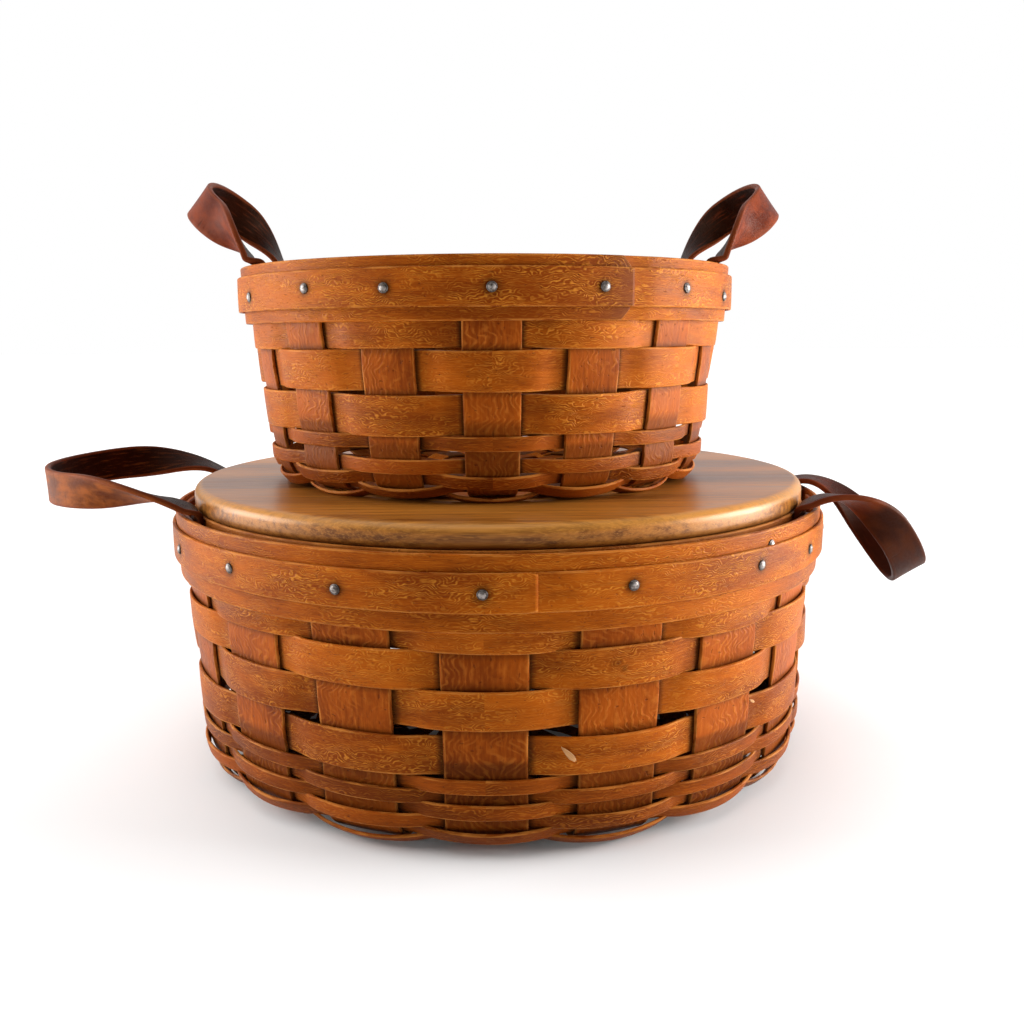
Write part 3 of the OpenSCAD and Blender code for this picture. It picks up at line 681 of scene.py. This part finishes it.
def ear(b, side, middle, spread, reach, first, last, roll, width, material, seed):
    """One leather strap: up from between the bands, over the rim, round the loop and back down.
    The loop is half an ellipse on a sheet that bends from the first angle to the last."""
    rng = np.random.default_rng(seed)
    leather_r = b.top_r - 2.6 * MM
    fold = leather_r * math.cos(math.radians(spread)) + 4 * MM
    half_span = leather_r * math.sin(math.radians(spread))
    reach, roll = reach * MM, roll * MM
    first, last = math.radians(first), math.radians(last)
    share = np.linspace(0, 1, 801)
    bend = last + (first - last) * (1 - share) ** 3
    mid_bend = (bend[1:] + bend[:-1]) / 2
    sheet_x = np.concatenate([[0], np.cumsum(np.cos(mid_bend))]) * reach / 800
    sheet_z = np.concatenate([[0], np.cumsum(np.sin(mid_bend))]) * reach / 800
    f = np.radians(np.linspace(0, 180, 141))
    u = np.sin(f)
    loop = np.stack([np.interp(u, share, sheet_x), half_span * np.cos(f),
                     np.interp(u, share, sheet_z) + roll * np.sin(2 * f)], -1)
    run = unit(np.gradient(loop, axis=0))
    a = last + (first - last) * (1 - u) ** 3
    normal = np.stack([-np.sin(a), 0 * a, np.cos(a)], -1)
    across = unit(np.cross(run, normal))
    twist = math.pi - math.pi / 2 * smooth(np.degrees(np.minimum(f, math.pi - f)) / 50)
    width_way = np.cos(twist)[:, None] * across + np.sin(twist)[:, None] * np.cross(across, run)

    def leg(sign, start, start_run):
        """From the foot of a tab up to the start of the loop."""
        t = np.linspace(0, 1, 15)[:, None]
        foot = np.array([-4 * MM, sign * half_span, -EAR_LIFT - 15.5 * MM])
        top = np.array([-4 * MM, sign * half_span, -EAR_LIFT - 0.6 * MM])
        tab = foot + (top - foot) * np.linspace(0, 1, 9)[:-1, None]
        h0, h1 = np.array([0, 0, 5.5 * MM]), start_run * 4.5 * MM
        curve = ((2 * t**3 - 3 * t**2 + 1) * top + (t**3 - 2 * t**2 + t) * h0
                 + (3 * t**2 - 2 * t**3) * start + (t**3 - t**2) * h1)
        points = np.vstack([tab, curve[:-1]])
        at_tab = np.array([-math.sin(math.radians(spread)), sign * math.cos(math.radians(spread)), 0])
        at_loop = np.array([0, sign, 0])
        share = smooth(np.concatenate([np.zeros(8), np.linspace(0, 1, 15)[:-1]]))[:, None]
        return points, unit(at_tab * (1 - share) + at_loop * share)

    up_points, up_width = leg(1, loop[0], run[0])
    down_points, down_width = leg(-1, loop[-1], -run[-1])
    mid = np.vstack([up_points, loop, down_points[::-1]])
    ways = np.vstack([up_width, width_way, down_width[::-1]])
    run = unit(np.gradient(mid, axis=0))
    ways = unit(ways - run * np.sum(ways * run, 1)[:, None])
    out = np.cross(run, ways)
    length = np.concatenate([[0], np.cumsum(np.linalg.norm(np.diff(mid, axis=0), axis=1))])
    free = smooth((mid[:, 2] - 1 * MM) / (4 * MM))
    waves = sum(rng.uniform(-0.22, 0.22) * MM * np.sin(length / (rng.uniform(5, 16) * MM) + rng.uniform(0, 6))
                for _ in range(4))
    mid = mid + out * (waves * free)[:, None]
    strap_w = width * MM * (1 + 0.02 * np.sin(length / (9 * MM) + seed))
    # painted shade on the strap where it runs down between the bands
    buried = smooth((1.5 * MM - (mid[:, 2] + EAR_LIFT)) / (3 * MM))
    turn = np.array(Matrix.Rotation(math.radians(middle), 3, "Z"))
    origin = b.centre + turn @ np.array([fold, 0, b.rim_z + EAR_LIFT])
    shape = Shape()
    strap(shape, mid @ turn.T + origin, ways @ turn.T, out @ turn.T, strap_w, LEATHER_T, 0.75 * MM,
          section(11, 9, 0.12), uv_start=rng.uniform(0, 3, 2), shade_and_stain=0.8 * buried, crown=0.12 * MM)
    name = f"{b.size}_{side}_ear"
    piece = make(name + "_strap", shape, material, [name + "_ends", name + "_loop"])
    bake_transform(piece)


# ---------------------------------------------------------------- build

LARGE = Basket("large", "large_basket", bend_r=13, lean=3.4, turn=-2.3, upright_angle=12.6, hub_r=36,
               tone=-0.12)
SMALL = Basket("small", "small_basket", bend_r=11, lean=6.5, turn=1.7, upright_angle=12.4, hub_r=30,
               tone=0.1)
WIDE_W = {"large": 12.9 * MM, "small": 13.4 * MM}
NARROW_W = 4.9 * MM
ROWS = {"large": (4, 6), "small": (3, 5)}
# How far each narrow weaver is lifted at the front and at the back
LIFTS = {"large": [(0.0, 1.3 * MM), (0.0, 0.6 * MM), (0.0, 0.0)],
         "small": [(1.1 * MM, 1.6 * MM), (0.3 * MM, 1.0 * MM), (0.0, 0.3 * MM)]}
# Small knots: degrees round, millimetres off the middle of the weaver, size in millimetres
KNOTS = {"large_wide_weaver_2": [(-73.5, 1.2, 1.5), (-72.2, -0.6, 1.1)],
         "large_wide_weaver_3": [(-41, 2, 0.9)],
         "small_wide_weaver_2": [(-33, 2.5, 1.4), (-34, 0.8, 1.0)]}
# Pale flakes: foot and tip as degrees round the wall and millimetres up, and the width in millimetres
FLAKED = "large_wide_weaver_4"
FLAKES = [((-79.3, 33.6), (-81.4, 38.6), 1.9), ((-45.8, 40.0), (-47.2, 41.6), 1.0)]


def weave(b, seed):
    wide, narrow = ROWS[b.size]
    first_wide = 1 if b is LARGE else -1
    for i in range(wide):
        node = f"{b.size}_wide_weaver_{i + 1}"
        weaver(b, node, WIDE_W[b.size], first_wide * (-1) ** i, 0.6 * MM, WIDE, seed + i,
               knots=KNOTS.get(node, ()))
    for i in range(narrow):
        bulge = (0.5 + 0.25 * min(i, 3)) * MM
        weaver(b, f"{b.size}_narrow_weaver_{i + 1}", NARROW_W, (-1) ** i, bulge,
               NARROW, seed + 10 + i, LIFTS[b.size][min(i, 2)])
    base_weavers(b, width=11.5 * MM, pitch=13 * MM, seed=seed + 20)
    for k in range(b.strips):
        strip(b, k, seed + 30 + k)


weave(LARGE, 100)
weave(SMALL, 200)
LARGE_LAP, SMALL_LAP = math.radians(-85), math.radians(-59.5)   # where the ends of the bands lap over
band(LARGE, "large_outer_band", OUTER_BAND_T, math.radians(1.75), BAND, seed=11)
band(LARGE, "large_trim_strip", TRIM_T, 0, TRIM, seed=12, end_angle=LARGE_LAP, overlap=0.25,
     end_tone=-0.12, clip=0.1, tack_darkening=0.8)
band(LARGE, "large_inner_band", INNER_BAND_T, 0, INNER, seed=13)
band(SMALL, "small_outer_band", OUTER_BAND_T, math.radians(3.3), BAND, seed=21,
     end_angle=SMALL_LAP, overlap=0.3, end_tone=-0.3, end_darkening=0.3, clip=0.34)
band(SMALL, "small_trim_strip", TRIM_T, 0, TRIM, seed=22, end_angle=SMALL_LAP, overlap=0.3,
     end_tone=-0.3, end_darkening=0.3, clip=0.04, tack_darkening=0.8)
band(SMALL, "small_inner_band", INNER_BAND_T, 0, INNER, seed=23)
half_hidden_tack = (math.radians(-45.6), LARGE.rim_z - 5.3 * MM, 1.4 * MM)
tacks(LARGE, seed=31, extra=[half_hidden_tack])
tacks(SMALL, seed=32)
for count, (foot, tip, wide) in enumerate(FLAKES):
    flake_start, flake_out = on_wall(LARGE, foot[0], foot[1] * MM, FLAKE_OFF)
    flake_end, _ = on_wall(LARGE, tip[0], tip[1] * MM, FLAKE_OFF)
    sliver(f"{FLAKED}_flake_{count + 1}", FLAKED, flake_start, flake_end, flake_out, wide * MM,
           0.25 * MM, LARGE.body)
lid()
ear(LARGE, "left", middle=-174.5, spread=22, reach=60, first=30, last=-3, roll=-1,
    width=13.2, material=TAN_LEATHER, seed=41)
ear(LARGE, "right", middle=-12.3, spread=14.5, reach=53, first=20, last=-56, roll=-5,
    width=13.4, material=BROWN_LEATHER, seed=42)
ear(SMALL, "left", middle=181.7, spread=22.5, reach=34.5, first=75, last=38, roll=-2.5,
    width=14.2, material=RED_LEATHER, seed=43)
ear(SMALL, "right", middle=1.7, spread=22.5, reach=34.5, first=75, last=36, roll=2.5,
    width=14.2, material=RED_LEATHER, seed=44)


# ---------------------------------------------------------------- stage, light and camera

def stage_floor():
    """Pale paper that glows more the farther it lies from the middle, so that it runs into the backdrop
    without a line.
    """
    mesh = bpy.data.meshes.new("floor")
    n, r = 96, 9.0
    verts = [(r * math.cos(2 * math.pi * i / n), r * math.sin(2 * math.pi * i / n), 0) for i in range(n)]
    mesh.from_pydata(verts, [], [list(range(n))])
    floor = bpy.data.objects.new("floor", mesh)
    bpy.context.scene.collection.objects.link(floor)
    g = Graph("floor_paper")
    tint = g.noise(g.node("ShaderNodeTexCoord").outputs["Object"], 3.0, 2.0)
    colour = g.mix(g.band(tint, 0.3, 0.7), (0.80, 0.80, 0.80, 1), (0.82, 0.82, 0.82, 1))
    far = g.node("ShaderNodeVectorMath", {0: g.node("ShaderNodeTexCoord").outputs["Object"]},
                 operation="LENGTH").outputs["Value"]
    # a painted glow on the floor, faint near the baskets and rising with distance
    g.shader.inputs["Emission Color"].default_value = (1, 1, 1, 1)
    g.put(g.shader.inputs["Emission Strength"], g.band(far, 0.22, 1.0, 0.02, 0.5))
    mesh.materials.append(g.settle(colour, 0.9, Specular_IOR_Level=0.0))


def area_light(name, where, target, size, power):
    light = bpy.data.lights.new(name, "AREA")
    light.shape, light.size, light.size_y, light.energy = "RECTANGLE", size[0], size[1], power
    lamp = bpy.data.objects.new(name, light)
    bpy.context.scene.collection.objects.link(lamp)
    aim = np.array(target) - np.array(where)
    lamp.rotation_euler = Vector(aim).to_track_quat("-Z", "Y").to_euler()
    lamp.location = where


def lights():
    """A bright backdrop and sides, a soft overhead light and a dim front. The backdrop shows white."""
    world = bpy.data.worlds.new("studio")
    bpy.context.scene.world = world
    world.use_nodes = True
    nodes, links = world.node_tree.nodes, world.node_tree.links
    soft, plain = nodes["Background"], nodes.new("ShaderNodeBackground")
    mix = nodes.new("ShaderNodeMixShader")
    way, split = nodes.new("ShaderNodeTexCoord"), nodes.new("ShaderNodeSeparateXYZ")
    fade, path = nodes.new("ShaderNodeMapRange"), nodes.new("ShaderNodeLightPath")
    links.new(way.outputs["Generated"], split.inputs[0])
    links.new(split.outputs[1], fade.inputs[0])
    for socket, value in (("From Min", -0.1), ("From Max", 0.7), ("To Min", 0.15), ("To Max", 0.9)):
        fade.inputs[socket].default_value = value
    links.new(fade.outputs[0], soft.inputs["Strength"])
    plain.inputs["Color"].default_value = (1, 1, 1, 1)
    soft.inputs["Color"].default_value = (1, 1, 1, 1)
    links.new(path.outputs["Is Camera Ray"], mix.inputs[0])
    links.new(soft.outputs[0], mix.inputs[1])
    links.new(plain.outputs[0], mix.inputs[2])
    links.new(mix.outputs[0], nodes["World Output"].inputs["Surface"])
    sun = bpy.data.lights.new("overhead", "SUN")
    sun.energy, sun.angle = 1.35, math.radians(60)
    lamp = bpy.data.objects.new("overhead", sun)
    bpy.context.scene.collection.objects.link(lamp)
    lamp.rotation_euler = (math.radians(6), math.radians(-18), 0)
    area_light("left_softbox", (-0.75, -0.02, 0.25), target=(0, 0, 0.1), size=(0.5, 0.4), power=6.5)
    area_light("right_softbox", (0.8, -0.06, 0.22), target=(0, 0, 0.1), size=(0.5, 0.4), power=12.5)


def camera():
    """At the height and tilt that show both baskets and the top of the lid."""
    pitch, yaw, roll = math.radians(9.91), math.radians(0.72), math.radians(-0.36)
    ahead = np.array([math.sin(yaw) * math.cos(pitch), math.cos(yaw) * math.cos(pitch), -math.sin(pitch)])
    right = unit(np.cross(ahead, [0, 0, 1]))
    up = np.cross(right, ahead)
    right, up = (right * math.cos(roll) + up * math.sin(roll), -right * math.sin(roll) + up * math.cos(roll))
    data = bpy.data.cameras.new("camera")
    data.sensor_width, data.lens = 36.0, 36.14
    data.clip_start, data.clip_end = 0.01, 100
    cam = bpy.data.objects.new("camera", data)
    bpy.context.scene.collection.objects.link(cam)
    stand = (0, -0.4189, 0.1636)
    axes = np.eye(4)
    axes[:3, 0], axes[:3, 1], axes[:3, 2], axes[:3, 3] = right, up, -ahead, stand
    cam.matrix_world = Matrix(axes.tolist())
    bpy.context.scene.camera = cam


stage_floor()
lights()
camera()
bpy.context.scene.view_settings.view_transform = "Standard"
